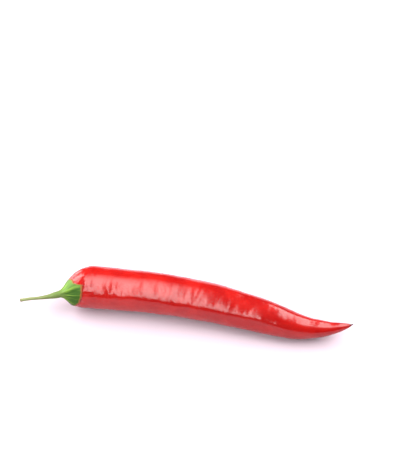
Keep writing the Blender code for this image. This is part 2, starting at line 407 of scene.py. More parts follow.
# Folds that run from the calyx over the shoulder: angle and half width in degrees, and length and
# height in millimetres. A crease has a negative height.
SHOULDER_FOLDS = (
    (120.0, 18.0, 9.0, 0.45),
    (106.0, 5.0, 7.0, -0.16),
    (84.0, 16.0, 6.0, 0.25),
    (48.0, 9.0, 10.0, -0.18),
    (33.0, 9.0, 8.0, -0.14),
    (4.0, 9.0, 6.0, -0.18),
    (-32.0, 10.0, 7.0, -0.18),
    (-66.0, 14.0, 8.0, 0.25),
    (-96.0, 12.0, 9.0, -0.22),
    (-150.0, 11.0, 8.0, -0.20),
    (160.0, 14.0, 8.0, 0.30),
)


def past_rim(tree, grown):
    """Nodes for the distance along the pod past the plane of the calyx's rim."""
    slope = math.tan(CALYX_TILT)
    lean = (1.0, -slope * math.cos(CALYX_ROLL), -slope * math.sin(CALYX_ROLL))
    reach = add(tree, "ShaderNodeVectorMath", {0: grown, 1: lean}, operation="DOT_PRODUCT")
    past = {0: pick(reach.outputs, "Value"), 1: CALYX_REACH}
    return add(tree, "ShaderNodeMath", past, operation="SUBTRACT")


def shoulder_folds(tree, grown, scale):
    """Nodes for the folds of the shoulder, which fade along the pod."""
    parts = add(tree, "ShaderNodeSeparateXYZ", {"Vector": grown})
    frontward, upward = parts.outputs["Y"], parts.outputs["Z"]
    angle = add(tree, "ShaderNodeMath", {0: upward, 1: frontward}, operation="ARCTAN2")
    beyond = past_rim(tree, grown)
    heights = []
    for middle, half_width, length, height in SHOULDER_FOLDS:
        turned = add(tree, "ShaderNodeMath", {0: angle, 1: math.radians(middle)}, operation="SUBTRACT")
        wrapped = add(tree, "ShaderNodeMath", {0: turned, 1: -math.pi, 2: math.pi}, operation="WRAP")
        away = add(tree, "ShaderNodeMath", {0: wrapped}, operation="ABSOLUTE")
        near = {"Value": away, "From Min": 0.0, "From Max": math.radians(half_width)}
        near.update({"To Min": height * MM, "To Max": 0.0})
        fold = add(tree, "ShaderNodeMapRange", near, interpolation_type="SMOOTHSTEP")
        ends = {"Value": beyond, "From Min": 0.0, "From Max": length * MM, "To Min": 1.0, "To Max": 0.0}
        fade = add(tree, "ShaderNodeMapRange", ends, interpolation_type="SMOOTHSTEP")
        faded = add(tree, "ShaderNodeMath", {0: fold, 1: fade}, operation="MULTIPLY")
        heights.append(add(tree, "ShaderNodeMath", {0: faded, 1: scale}, operation="MULTIPLY"))
    return heights


def hollow(tree, grown, depth):
    """Nodes for the shallow hollow in the pod's upper side, just before it hooks."""
    parts = add(tree, "ShaderNodeSeparateXYZ", {"Vector": grown})
    along, upward = parts.outputs["X"], parts.outputs["Z"]
    start, deepest, end = HOLLOW
    falling = {"Value": along, "From Min": start, "From Max": deepest}
    sunk = add(tree, "ShaderNodeMapRange", falling, interpolation_type="SMOOTHSTEP")
    rising = {"Value": along, "From Min": deepest, "From Max": end, "To Min": 1.0, "To Max": 0.0}
    filled = add(tree, "ShaderNodeMapRange", rising, interpolation_type="SMOOTHSTEP")
    edge = POD_DIAMETER / 8
    over = {"Value": upward, "From Min": -edge, "From Max": edge, "To Min": 0.0, "To Max": -1.0}
    topside = add(tree, "ShaderNodeMapRange", over, interpolation_type="SMOOTHSTEP")
    both = add(tree, "ShaderNodeMath", {0: sunk, 1: filled}, operation="MULTIPLY")
    upper = add(tree, "ShaderNodeMath", {0: both, 1: topside}, operation="MULTIPLY")
    return add(tree, "ShaderNodeMath", {0: upper, 1: depth}, operation="MULTIPLY")


def pod_tree():
    """The tree that spans the pod's skin and gives it ripples, dents and creases."""
    tree, given = new_tree(
        "pod skin",
        {
            "Sides": "NodeSocketInt",
            "Seed": "NodeSocketFloat",
            "Ripple Spacing": "NodeSocketFloat",
            "Ripple Breadth": "NodeSocketFloat",
            "Ripple Depth": "NodeSocketFloat",
            "Crinkle Spacing": "NodeSocketFloat",
            "Crinkle Breadth": "NodeSocketFloat",
            "Crinkle Depth": "NodeSocketFloat",
            "Dent Size": "NodeSocketFloat",
            "Dent Depth": "NodeSocketFloat",
            "Hollow Depth": "NodeSocketFloat",
            "Fold Scale": "NodeSocketFloat",
            "Rest Height": "NodeSocketFloat",
            "Material": "NodeSocketMaterial",
        },
    )
    skin = span_sections(tree, given["Geometry"], given["Sides"])
    grown = add(tree, "GeometryNodeInputNamedAttribute", {"Name": "grown"}, data_type="FLOAT_VECTOR")
    seed = given["Seed"]
    spacing, breadth = given["Ripple Spacing"], given["Ripple Breadth"]
    fine_spacing, fine_breadth = given["Crinkle Spacing"], given["Crinkle Breadth"]
    dent = given["Dent Size"]
    along = add(tree, "ShaderNodeSeparateXYZ", {"Vector": grown}).outputs["X"]
    near_base = {"Value": along, "From Min": WRINKLED_TO, "From Max": PLAIN_FROM}
    near_base.update({"To Min": BASE_WRINKLING, "To Max": 1.0})
    wrinkling = add(tree, "ShaderNodeMapRange", near_base, interpolation_type="SMOOTHSTEP")
    depth = add(tree, "ShaderNodeMath", {0: wrinkling, 1: given["Ripple Depth"]}, operation="MULTIPLY")
    heights = [
        unevenness(tree, grown, spacing, breadth, depth, seed, 1.5),
        unevenness(tree, grown, fine_spacing, fine_breadth, given["Crinkle Depth"], seed, 2.0),
        unevenness(tree, grown, dent, dent, given["Dent Depth"], seed),
        hollow(tree, grown, given["Hollow Depth"]),
        *shoulder_folds(tree, grown, given["Fold Scale"]),
    ]
    raised = raise_skin(tree, skin, heights)
    place = add(tree, "ShaderNodeSeparateXYZ", {"Vector": add(tree, "GeometryNodeInputPosition")})
    floor = {0: place.outputs["Z"], 1: given["Rest Height"]}
    stopped = add(tree, "ShaderNodeMath", floor, operation="MAXIMUM")
    wanted = {"X": place.outputs["X"], "Y": place.outputs["Y"], "Z": stopped}
    resting = add(tree, "ShaderNodeCombineXYZ", wanted)
    rested = add(tree, "GeometryNodeSetPosition", {"Geometry": raised, "Position": resting})
    close_tree(tree, rested, given["Material"])
    return tree


def pod_sections(spine, count):
    """The pod's sections from its base to its tip, which a last point closes."""
    sections = []
    for share in eased(count):
        along = share * POD_LENGTH
        _, front, upward = section_at(along, spine)
        place = bend_place(pod_middle(along), spine)
        sections.append((place, front, upward, along, pod_radius(along)))
    place, front, upward, along, _ = sections[-1]
    sections.append((place, front, upward, along, 0.0))
    return sections


# ---------------------------------------------------------------- calyx

# Small steps along and round the pod, by which its skin's slope is found
SLOPE_STEP = 0.05 * MM
SLOPE_TURN = 0.01

# The curve from the neck to the rim: where and how high it is held near the rim, as shares of the
# rim's own reach and height, and how far down from the neck it is straight, as a share of the height
SWELL_REACH = 0.6
SWELL_HEIGHT = 1.6
NECK_STRAIGHT = 0.4
RAGGED_FINENESS = 7.0
INNER_CROWDING = 1.8  # brings the inner rings closer together near the middle


def over_pod(along, angle, height):
    """A point at a height over the straight pod's skin."""
    further_along = along + SLOPE_STEP
    skin = pod_middle(along) + around(angle) * pod_radius(along)
    further = pod_middle(further_along) + around(angle) * pod_radius(further_along)
    turned_on = pod_middle(along) + around(angle + SLOPE_TURN) * pod_radius(along)
    outward = (turned_on - skin).cross(further - skin).normalized()
    return skin - outward * height


def neck_direction():
    """The way that the calyx's neck points, away from the straight pod."""
    level = math.cos(CALYX_RISE)
    back, front = level * math.cos(CALYX_LEAN), level * math.sin(CALYX_LEAN)
    return Vector((-back, -front, math.sin(CALYX_RISE)))


def rim_reach(angle):
    """How far along the pod the calyx reaches: to its rim's tilted plane, and a lobe past it."""
    slope = math.tan(CALYX_TILT) * math.cos(angle - CALYX_ROLL)
    nearer, further = 0.0, SHOULDER_LENGTH
    for _ in range(BISECTIONS):
        reach = (nearer + further) / 2
        if reach < CALYX_REACH + slope * pod_radius(reach):
            nearer = reach
        else:
            further = reach
    return nearer + CALYX_LOBE_LENGTH * (0.5 + 0.5 * math.cos(CALYX_LOBES * angle))


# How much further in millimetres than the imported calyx's plain rim the edge reaches, at angles
# round the pod in degrees. It has blunt teeth, of which the sharpest is at 58 degrees, at the end of
# a main rib, and a deep bay just above that one.
RIM_EDGE = (
    (-158.0, 0.4),
    (-125.0, -0.2),
    (-86.0, 0.5),
    (-60.0, -0.4),
    (-25.0, -1.1),
    (-3.0, -1.4),
    (12.0, -0.6),
    (27.0, 0.0),
    (42.0, 0.4),
    (57.0, 0.8),
    (61.0, -0.9),
    (70.0, -2.1),
    (86.0, -1.4),
    (104.0, -0.6),
    (130.0, 0.3),
    (165.0, -0.2),
    (202.0, 0.4),
)


def edge_reach(angle):
    """How far along the pod the calyx's ragged edge reaches."""
    turn = math.degrees(angle)
    turn -= 360.0 * math.floor((turn - RIM_EDGE[0][0]) / 360.0)
    for (start, before), (end, after) in zip(RIM_EDGE, RIM_EDGE[1:]):
        if start <= turn <= end:
            extra = before + (after - before) * smooth((turn - start) / (end - start))
    return rim_reach(angle) + extra * MM


def neck_end():
    """The middle of the neck's end, straight out from the middle of the rim."""
    angles = [2.0 * math.pi * index / RIM_SAMPLES for index in range(RIM_SAMPLES)]
    rim = [over_pod(rim_reach(angle), angle, CLEARANCE) for angle in angles]
    return sum(rim, Vector()) / RIM_SAMPLES + neck_direction() * CALYX_HEIGHT


def neck_around(angle):
    """The direction at an angle round the calyx's neck, matched to around()."""
    direction = neck_direction()
    across = around(angle)
    return (across - direction * across.dot(direction)).normalized()


def bezier(points, share):
    """A point on the cubic curve with four control points."""
    rest = 1.0 - share
    weights = (rest**3, 3 * rest**2 * share, 3 * rest * share**2, share**3)
    return sum((point * weight for point, weight in zip(points, weights)), Vector())


def calyx_meridian(angle, neck_middle, settings):
    """Points down the calyx at one angle: neck to rim, round the lip, and back up inside."""
    round_edge = Vector((math.cos(angle), math.sin(angle), 0.0))
    ragged = noise.noise(round_edge * RAGGED_FINENESS) * settings.raggedness
    reach = edge_reach(angle) + ragged
    top = settings.rim_height
    rim = over_pod(reach, angle, top)
    swell = over_pod(reach * SWELL_REACH, angle, top * SWELL_HEIGHT)
    neck = neck_middle + neck_around(angle) * (STEM_FOOT_DIAMETER / 2 + NECK_SWELL)
    below_neck = neck - neck_direction() * CALYX_HEIGHT * NECK_STRAIGHT
    points = []
    for step in range(settings.rings + 1):
        depth = step / settings.rings
        points.append((bezier((rim, swell, below_neck, neck), 1.0 - depth), depth, 1.0))
    middle = (top - settings.sinking) / 2
    half = (top + settings.sinking) / 2
    for step in range(1, settings.lip_rings):
        swing = math.pi * (0.5 - step / settings.lip_rings)
        bulge = settings.lip_bulge * math.cos(swing)
        points.append((over_pod(reach + bulge, angle, middle + half * math.sin(swing)), 1.0, 1.0))
    for step in range(settings.inner_rings):
        share = (1.0 - step / settings.inner_rings) ** INNER_CROWDING
        points.append((over_pod(reach * share, angle, -settings.sinking), share, 0.0))
    return points


def calyx_cap(spine, settings):
    """The calyx's plain closed cap, with how far down it and round it each point is."""
    neck_middle = neck_end()
    sides = settings.sides
    angles = [2.0 * math.pi * index / sides for index in range(sides)]
    meridians = [calyx_meridian(angle, neck_middle, settings) for angle in angles]
    work = bmesh.new()
    down = work.verts.layers.float.new("down")
    outer = work.verts.layers.float.new("outer")
    turn = work.verts.layers.float_vector.new("turn")
    columns = []
    for angle, meridian in zip(angles, meridians):
        column = []
        for point, depth, outside in meridian:
            vertex = work.verts.new(bend_place(point, spine))
            vertex[down] = depth
            vertex[outer] = outside
            vertex[turn] = (math.cos(angle), math.sin(angle), 0.0)
            column.append(vertex)
        columns.append(column)
    for column, following in zip(columns, columns[1:] + columns[:1]):
        for index in range(len(column) - 1):
            lower = index + 1
            work.faces.new((column[index], column[lower], following[lower], following[index]))
    work.faces.new([column[0] for column in reversed(columns)])
    work.faces.new([column[-1] for column in columns])
    bmesh.ops.recalc_face_normals(work, faces=work.faces)
    cap = bpy.data.meshes.new("calyx cap")
    work.to_mesh(cap)
    work.free()
    return cap


# The waves that make the main ribs and the lower ones between them: how far each is turned, and its
# share of the rib height
RIB_WAVES = ((0.0, 1.0), (math.pi, 0.6))
RIB_SHARPNESS = 7.0
RIB_SWAY = 0.5  # radians over which a rib may stray, from one side to the other
RIB_SWAY_FINENESS = 1.3
VEIN_FINENESS = 9.0


def calyx_tree():
    """The tree that raises the calyx's ribs and veins, and keeps where they are as "rib"."""
    tree, given = new_tree(
        "calyx ribs",
        {
            "Ribs": "NodeSocketInt",
            "Rib Turn": "NodeSocketFloat",
            "Rib Height": "NodeSocketFloat",
            "Vein Height": "NodeSocketFloat",
            "Seed": "NodeSocketFloat",
            "Material": "NodeSocketMaterial",
        },
    )
    turn = add(tree, "GeometryNodeInputNamedAttribute", {"Name": "turn"}, data_type="FLOAT_VECTOR")
    down = add(tree, "GeometryNodeInputNamedAttribute", {"Name": "down"}, data_type="FLOAT")
    outer = add(tree, "GeometryNodeInputNamedAttribute", {"Name": "outer"}, data_type="FLOAT")
    parts = add(tree, "ShaderNodeSeparateXYZ", {"Vector": turn})
    across, upward = parts.outputs["X"], parts.outputs["Y"]
    angle = add(tree, "ShaderNodeMath", {0: upward, 1: across}, operation="ARCTAN2")

    sway = {"Vector": turn, "W": given["Seed"], "Scale": RIB_SWAY_FINENESS, "Detail": 0.0}
    swaying = add(tree, "ShaderNodeTexNoise", sway, noise_dimensions="4D")
    from_first = add(tree, "ShaderNodeMath", {0: angle, 1: given["Rib Turn"]}, operation="SUBTRACT")
    either_way = add(tree, "ShaderNodeMath", {0: swaying, 1: 0.5}, operation="SUBTRACT")
    strayed = {0: either_way, 1: RIB_SWAY, 2: from_first}
    swayed = add(tree, "ShaderNodeMath", strayed, operation="MULTIPLY_ADD")
    phase = add(tree, "ShaderNodeMath", {0: swayed, 1: given["Ribs"]}, operation="MULTIPLY")
    crests = []
    for offset, share in RIB_WAVES:
        moved = add(tree, "ShaderNodeMath", {0: phase, 1: offset}, operation="ADD")
        wave = add(tree, "ShaderNodeMath", {0: moved}, operation="COSINE")
        lifted = add(tree, "ShaderNodeMath", {0: wave, 1: 0.5, 2: 0.5}, operation="MULTIPLY_ADD")
        sharp = add(tree, "ShaderNodeMath", {0: lifted, 1: RIB_SHARPNESS}, operation="POWER")
        crests.append(add(tree, "ShaderNodeMath", {0: sharp, 1: share}, operation="MULTIPLY"))
    rib = add(tree, "ShaderNodeMath", {0: crests[0], 1: crests[1]}, operation="MAXIMUM")
    keep = {"Geometry": given["Geometry"], "Name": "rib", "Value": rib}
    kept = add(tree, "GeometryNodeStoreNamedAttribute", keep, data_type="FLOAT")

    rise = {"Value": down, "From Min": 0.0, "From Max": 0.4, "To Min": 0.2, "To Max": 1.0}
    rising = add(tree, "ShaderNodeMapRange", rise, interpolation_type="SMOOTHSTEP")
    sink = {"Value": down, "From Min": 0.7, "From Max": 1.0, "To Min": 1.0, "To Max": 0.35}
    sinking = add(tree, "ShaderNodeMapRange", sink, interpolation_type="SMOOTHSTEP")
    swell = add(tree, "ShaderNodeMath", {0: rising, 1: sinking}, operation="MULTIPLY")
    ribbed = add(tree, "ShaderNodeMath", {0: rib, 1: swell}, operation="MULTIPLY")
    ribs = add(tree, "ShaderNodeMath", {0: ribbed, 1: given["Rib Height"]}, operation="MULTIPLY")

    spread = add(tree, "ShaderNodeVectorMath", {0: turn, "Scale": VEIN_FINENESS}, operation="SCALE")
    length = add(tree, "ShaderNodeCombineXYZ", {"Z": down})
    fibres = add(tree, "ShaderNodeVectorMath", {0: spread, 1: length}, operation="ADD")
    wanted = {"Vector": fibres, "W": given["Seed"], "Scale": 1.0, "Detail": 2.0}
    veining = add(tree, "ShaderNodeTexNoise", wanted, noise_dimensions="4D")
    raised = add(tree, "ShaderNodeMath", {0: veining, 1: 0.5}, operation="SUBTRACT")
    veins = add(tree, "ShaderNodeMath", {0: raised, 1: given["Vein Height"]}, operation="MULTIPLY")
    both = add(tree, "ShaderNodeMath", {0: ribs, 1: veins}, operation="ADD")
    outside = add(tree, "ShaderNodeMath", {0: both, 1: outer}, operation="MULTIPLY")
    close_tree(tree, raise_skin(tree, kept, [outside]), given["Material"])
    return tree


# ---------------------------------------------------------------- stem

CUT_ROUNDING = (0.93, 0.6, 0.3, 0.0)  # shares of the radius that close the cut end
FIBRE_SLENDERNESS = 16.0  # a fibre's length over its width
TANGENT_STEP = 0.05  # in bends, either side of the place where the stem's direction is found


def stem_bends(spine):
    """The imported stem's points, from its foot to its cut end."""
    onward = neck_direction()
    start = bend_place(neck_end() + onward * CLEARANCE, spine)
    outward = (start - bend_place(neck_end(), spine)).normalized()
    first_heading = math.atan2(outward.y, outward.x)
    first_slope = math.asin(outward.z)
    step = STEM_LENGTH / (STEM_BENDS - 1)
    points = [start]
    for index in range(STEM_BENDS - 1):
        share = index / (STEM_BENDS - 1)
        heading = first_heading - CALYX_LEAN * smooth(share * STEM_BEND_HASTE)
        slope = first_slope - (first_slope + STEM_END_DROOP) * smooth(share)
        level = math.cos(slope)
        onward = Vector((level * math.cos(heading), level * math.sin(heading), math.sin(slope)))
        points.append(points[-1] + onward * step)
    return points


def through(points, place):
    """A point on the smooth curve through some points, at a place counted in points."""
    index = min(len(points) - 2, max(0, int(place)))
    share = place - index
    start, end = points[index], points[index + 1]
    before = points[index - 1] if index else start * 2 - end
    after = points[index + 2] if index + 2 < len(points) else end * 2 - start
    return bezier((start, start + (end - before) / 6, end - (after - start) / 6, end), share)


def stem_sections(spine, settings):
    """The stem's sections, from inside the calyx's neck to the cut end, closed at both ends."""
    bends = stem_bends(spine)
    last = STEM_BENDS - 1
    sections = []
    for index in range(settings.stations):
        share = (index / (settings.stations - 1)) * (1.0 + settings.seat) - settings.seat
        place = through(bends, share * last)
        ahead = through(bends, share * last + TANGENT_STEP)
        behind = through(bends, share * last - TANGENT_STEP)
        direction = (ahead - behind).normalized()
        sideways = Vector((0.0, 0.0, 1.0)).cross(direction).normalized()
        flare = 1.0 - smooth(share * STEM_LENGTH / STEM_FLARE_LENGTH)
        radius = STEM_DIAMETER / 2 * (1.0 + (STEM_FOOT_DIAMETER / STEM_DIAMETER - 1.0) * flare)
        radius += NECK_SWELL * (1.0 - smooth(share * STEM_LENGTH / NECK_SWELL_LENGTH))
        from_end = (1.0 - share) * STEM_LENGTH / settings.cut_flare_length
        radius *= 1.0 + settings.cut_flare * (1.0 - smooth(from_end))
        along = share * STEM_LENGTH
        sections.append((place, -sideways, direction.cross(sideways), along, radius))
    foot, end = sections[0], sections[-1]
    sections.insert(0, (*foot[:4], 0.0))
    for share in CUT_ROUNDING:
        sections.append((*end[:4], end[4] * share))
    return sections


def stem_tree():
    """The tree that spans the stem's skin and gives it ridges and fibres."""
    tree, given = new_tree(
        "stem ridges",
        {
            "Sides": "NodeSocketInt",
            "Ridges": "NodeSocketInt",
            "Ridge Height": "NodeSocketFloat",
            "Fibre Spacing": "NodeSocketFloat",
            "Fibre Depth": "NodeSocketFloat",
            "Seed": "NodeSocketFloat",
            "Material": "NodeSocketMaterial",
        },
    )
    skin = span_sections(tree, given["Geometry"], given["Sides"])
    grown = add(tree, "GeometryNodeInputNamedAttribute", {"Name": "grown"}, data_type="FLOAT_VECTOR")
    parts = add(tree, "ShaderNodeSeparateXYZ", {"Vector": grown})
    sideways, upward = parts.outputs["Y"], parts.outputs["Z"]
    angle = add(tree, "ShaderNodeMath", {0: upward, 1: sideways}, operation="ARCTAN2")
    phase = add(tree, "ShaderNodeMath", {0: angle, 1: given["Ridges"]}, operation="MULTIPLY")
    wave = add(tree, "ShaderNodeMath", {0: phase}, operation="COSINE")
    ridges = add(tree, "ShaderNodeMath", {0: wave, 1: given["Ridge Height"]}, operation="MULTIPLY")
    spacing, depth = given["Fibre Spacing"], given["Fibre Depth"]
    length = add(tree, "ShaderNodeMath", {0: spacing, 1: FIBRE_SLENDERNESS}, operation="MULTIPLY")
    fibres = unevenness(tree, grown, length, spacing, depth, given["Seed"], 2.0)
    close_tree(tree, raise_skin(tree, skin, [ridges, fibres]), given["Material"])
    return tree


# ---------------------------------------------------------------- materials


def new_material(name, **values):
    """A Principled material with constant values set on the shader's own sockets."""
    material = bpy.data.materials.new(name)
    material.use_nodes = True
    shader = material.node_tree.nodes["Principled BSDF"]
    for label, value in values.items():
        shader.inputs[label.replace("_", " ")].default_value = value
    return material, material.node_tree, shader


# Real sizes of the patterns
MOTTLE_SIZE = 9.0 * MM
CELL_SIZE = 0.7 * MM  # coarser than the real cells, so that they show
PEEL_SIZE = 0.8 * MM
STEM_FIBRE_SIZE = 0.25 * MM
STEM_FIBRE_SHRINK = 0.06  # squeezes the pattern along the stem, so that its fibres are long
CALYX_STREAKS = 11.0  # fineness of the streaks round the calyx
STREAK_CONTRAST = 2.4
RIB_CONTRAST = 0.4
PAPER_TOOTH_SIZE = 1.5 * MM

PAPER_SHADE = 0.985  # how bright the tooth's low spots are, next to the paper

# Depths of the fine relief
PEEL_DEPTH = 0.05 * MM
VEIN_DEPTH = 0.08 * MM
FIBRE_DEPTH = 0.06 * MM

# Places along the pod and the stem between which a colour turns into another
DEEPENING_START = 10.0 * MM
DEEPENING_END = 100.0 * MM
DRY_TIP_START = POD_LENGTH - 2.6 * MM
DRY_TIP_END = POD_LENGTH - 0.6 * MM
GREEN_FOOT_LENGTH = 9.0 * MM
DRY_CUT_START = STEM_LENGTH - 1.0 * MM
DRY_CUT_END = STEM_LENGTH - 0.2 * MM


def skin_material(settings):
    """Ripe chilli skin: wet red flesh under a thin waxy cuticle.

    The flesh glows a deep, even red, and the wax over it gives hard bright highlights. A fine
    orange peel breaks their edges up.
    """
    material, tree, shader = new_material(
        "ripe chilli skin",
        Roughness=0.45,
        IOR=1.45,
        Specular_IOR_Level=0.05,
        Subsurface_Weight=0.25,
        Subsurface_Radius=(1.0, 0.12, 0.06),
        Subsurface_Scale=2.0 * MM,
        Coat_Weight=1.0,
        Coat_Roughness=0.13,
        Coat_IOR=1.45,
    )
    grown = add(tree, "ShaderNodeAttribute", attribute_name="grown", attribute_type="GEOMETRY")
    place = grown.outputs["Vector"]
    along = add(tree, "ShaderNodeSeparateXYZ", {"Vector": place}).outputs["X"]

    clouds = add(tree, "ShaderNodeTexNoise", {"Vector": place, "Scale": 1.0 / MOTTLE_SIZE})
    patchy = {"Value": clouds, "From Min": 0.35, "From Max": 0.65}
    mottle = add(tree, "ShaderNodeMapRange", patchy, interpolation_type="SMOOTHSTEP")
    # The red is lighter near the base and deeper towards the tip
    deepening = {"Value": along, "From Min": DEEPENING_START, "From Max": DEEPENING_END}
    deepening.update({"To Min": 0.35, "To Max": -0.35})
    lighter_at_base = add(tree, "ShaderNodeMapRange", deepening, interpolation_type="SMOOTHSTEP")
    brighter = add(tree, "ShaderNodeMath", {0: mottle, 1: lighter_at_base}, use_clamp=True)
    reds = {"Factor": brighter, "A": (*settings.deep, 1.0), "B": (*settings.flesh, 1.0)}
    red = add(tree, "ShaderNodeMix", reds, data_type="RGBA")

    cells = add(tree, "ShaderNodeTexNoise", {"Vector": place, "Scale": 1.0 / CELL_SIZE, "Detail": 1.0})
    dots = {"Value": cells, "From Min": 0.55, "From Max": 0.8, "To Min": 0.0, "To Max": 0.35}
    dotted = add(tree, "ShaderNodeMapRange", dots, interpolation_type="SMOOTHSTEP")
    lit = {"Factor": dotted, "A": red, "B": (*settings.bright, 1.0)}
    speckled = add(tree, "ShaderNodeMix", lit, data_type="RGBA")

    ends = {"Value": along, "From Min": DRY_TIP_START, "From Max": DRY_TIP_END}
    dry = add(tree, "ShaderNodeMapRange", ends, interpolation_type="SMOOTHSTEP")
    tipped = {"Factor": dry, "A": speckled, "B": (*settings.dry_tip, 1.0)}
    colour = add(tree, "ShaderNodeMix", tipped, data_type="RGBA")
    tree.links.new(pick(colour.outputs, 0), shader.inputs["Base Color"])

    grain = {"Vector": place, "Scale": 1.0 / PEEL_SIZE, "Detail": 3.0, "Roughness": 0.55}
    peel = add(tree, "ShaderNodeTexNoise", grain)
    bump = add(tree, "ShaderNodeBump", {"Height": peel, "Strength": 0.55, "Distance": PEEL_DEPTH})
    tree.links.new(bump.outputs[0], shader.inputs["Normal"])
    tree.links.new(bump.outputs[0], shader.inputs["Coat Normal"])
    return material


def calyx_material(settings):
    """Fresh calyx: a leafy green cap with pale veins.

    It is satin and lighter along its ribs, and dries to a thin brown line at its edge. Its upper
    side has painted light: it is painted paler, as if lit from above.
    """
    material, tree, shader = new_material(
        "fresh calyx",
        Roughness=0.55,
        IOR=1.42,
        Specular_IOR_Level=0.3,
        Subsurface_Weight=0.15,
        Subsurface_Radius=(0.4, 0.8, 0.1),
        Subsurface_Scale=0.8 * MM,
    )
    kept = {}
    for name in ("rib", "down", "turn"):
        kept[name] = add(tree, "ShaderNodeAttribute", attribute_name=name, attribute_type="GEOMETRY")
    rib = kept["rib"].outputs["Fac"]
    down = kept["down"].outputs["Fac"]
    turn = kept["turn"].outputs["Vector"]

    length = add(tree, "ShaderNodeCombineXYZ", {"Z": down})
    spread = {0: turn, 1: (CALYX_STREAKS, CALYX_STREAKS, 1.0), 2: length}
    drawn_out = add(tree, "ShaderNodeVectorMath", spread, operation="MULTIPLY_ADD")
    fibres = add(tree, "ShaderNodeTexNoise", {"Vector": drawn_out, "Scale": 1.0, "Detail": 3.0})
    coarse = add(tree, "ShaderNodeMath", {0: rib, 1: RIB_CONTRAST}, operation="MULTIPLY")
    mixed = {0: fibres, 1: STREAK_CONTRAST, 2: coarse}
    streaks = add(tree, "ShaderNodeMath", mixed, operation="MULTIPLY_ADD")
    blade = {"Value": down, "From Min": 0.35, "From Max": 0.8, "To Min": 0.0, "To Max": 0.35}
    deeper = add(tree, "ShaderNodeMapRange", blade, interpolation_type="SMOOTHSTEP")
    toned = add(tree, "ShaderNodeMath", {0: streaks, 1: deeper}, operation="SUBTRACT")
    veined = {"Value": toned, "From Min": 0.95, "From Max": 1.75}
    shade = add(tree, "ShaderNodeMapRange", veined, interpolation_type="SMOOTHSTEP")
    leaf = {"Factor": shade, "A": (*settings.leaf, 1.0), "B": (*settings.vein, 1.0)}
    green = add(tree, "ShaderNodeMix", leaf, data_type="RGBA")

    # Painted light: the calyx's upper side is painted towards a paler green, as if lit from above
    upper = add(tree, "ShaderNodeSeparateXYZ", {"Vector": turn}).outputs["Y"]
    topside = {"Value": upper, "From Min": 0.75, "From Max": 1.0, "To Min": 0.0, "To Max": 0.45}
    painted_top_light = add(tree, "ShaderNodeMapRange", topside, interpolation_type="SMOOTHSTEP")
    paler = {"Factor": painted_top_light, "A": green, "B": (*settings.pale, 1.0)}
    green_with_painted_top_light = add(tree, "ShaderNodeMix", paler, data_type="RGBA")

    near_stem = {"Value": down, "From Min": 0.05, "From Max": 0.45, "To Min": 0.75, "To Max": 0.0}
    fading = add(tree, "ShaderNodeMapRange", near_stem, interpolation_type="SMOOTHSTEP")
    pale = {"Factor": fading, "A": green_with_painted_top_light, "B": (*settings.neck, 1.0)}
    necked = add(tree, "ShaderNodeMix", pale, data_type="RGBA")

    at_edge = {"Value": down, "From Min": 0.94, "From Max": 0.99, "To Min": 0.0, "To Max": 0.9}
    browned = add(tree, "ShaderNodeMapRange", at_edge, interpolation_type="SMOOTHSTEP")
    edge = {"Factor": browned, "A": necked, "B": (*settings.dry_edge, 1.0)}
    colour = add(tree, "ShaderNodeMix", edge, data_type="RGBA")
    tree.links.new(pick(colour.outputs, 0), shader.inputs["Base Color"])
    bump = add(tree, "ShaderNodeBump", {"Height": fibres, "Strength": 0.5, "Distance": VEIN_DEPTH})
    tree.links.new(bump.outputs[0], shader.inputs["Normal"])
    return material


def stem_material(settings):
    """Green stem: a fibrous stalk with a thin skin.

    It is a dull pale olive with fine lengthwise streaks, and brownish where it was cut.
    """
    material, tree, shader = new_material(
        "cut green stem",
        Roughness=0.6,
        IOR=1.42,
        Specular_IOR_Level=0.3,
        Subsurface_Weight=0.1,
        Subsurface_Radius=(0.4, 0.6, 0.1),
        Subsurface_Scale=0.5 * MM,
    )
    grown = add(tree, "ShaderNodeAttribute", attribute_name="grown", attribute_type="GEOMETRY")
    place = grown.outputs["Vector"]
    along = add(tree, "ShaderNodeSeparateXYZ", {"Vector": place}).outputs["X"]

    squeeze = {0: place, 1: (STEM_FIBRE_SHRINK, 1.0, 1.0)}
    drawn_out = add(tree, "ShaderNodeVectorMath", squeeze, operation="MULTIPLY")
    streaks = add(tree, "ShaderNodeTexNoise", {"Vector": drawn_out, "Scale": 1.0 / STEM_FIBRE_SIZE})
    paler = {"Value": streaks, "From Min": 0.35, "From Max": 0.65}
    streaky = add(tree, "ShaderNodeMapRange", paler, interpolation_type="SMOOTHSTEP")
    skin = {"Factor": streaky, "A": (*settings.bark, 1.0), "B": (*settings.streak, 1.0)}
    olive = add(tree, "ShaderNodeMix", skin, data_type="RGBA")

    near_calyx = {"Value": along, "From Min": 0.0, "From Max": GREEN_FOOT_LENGTH}
    near_calyx.update({"To Min": 0.8, "To Max": 0.0})
    greener = add(tree, "ShaderNodeMapRange", near_calyx, interpolation_type="SMOOTHSTEP")
    foot = {"Factor": greener, "A": olive, "B": (*settings.foot, 1.0)}
    footed = add(tree, "ShaderNodeMix", foot, data_type="RGBA")

    near_cut = {"Value": along, "From Min": DRY_CUT_START, "From Max": DRY_CUT_END}
    drier = add(tree, "ShaderNodeMapRange", near_cut, interpolation_type="SMOOTHSTEP")
    dry = {"Factor": drier, "A": footed, "B": (*settings.cut, 1.0)}
    colour = add(tree, "ShaderNodeMix", dry, data_type="RGBA")
    tree.links.new(pick(colour.outputs, 0), shader.inputs["Base Color"])
    bump = add(tree, "ShaderNodeBump", {"Height": streaks, "Strength": 0.5, "Distance": FIBRE_DEPTH})
    tree.links.new(bump.outputs[0], shader.inputs["Normal"])
    return material


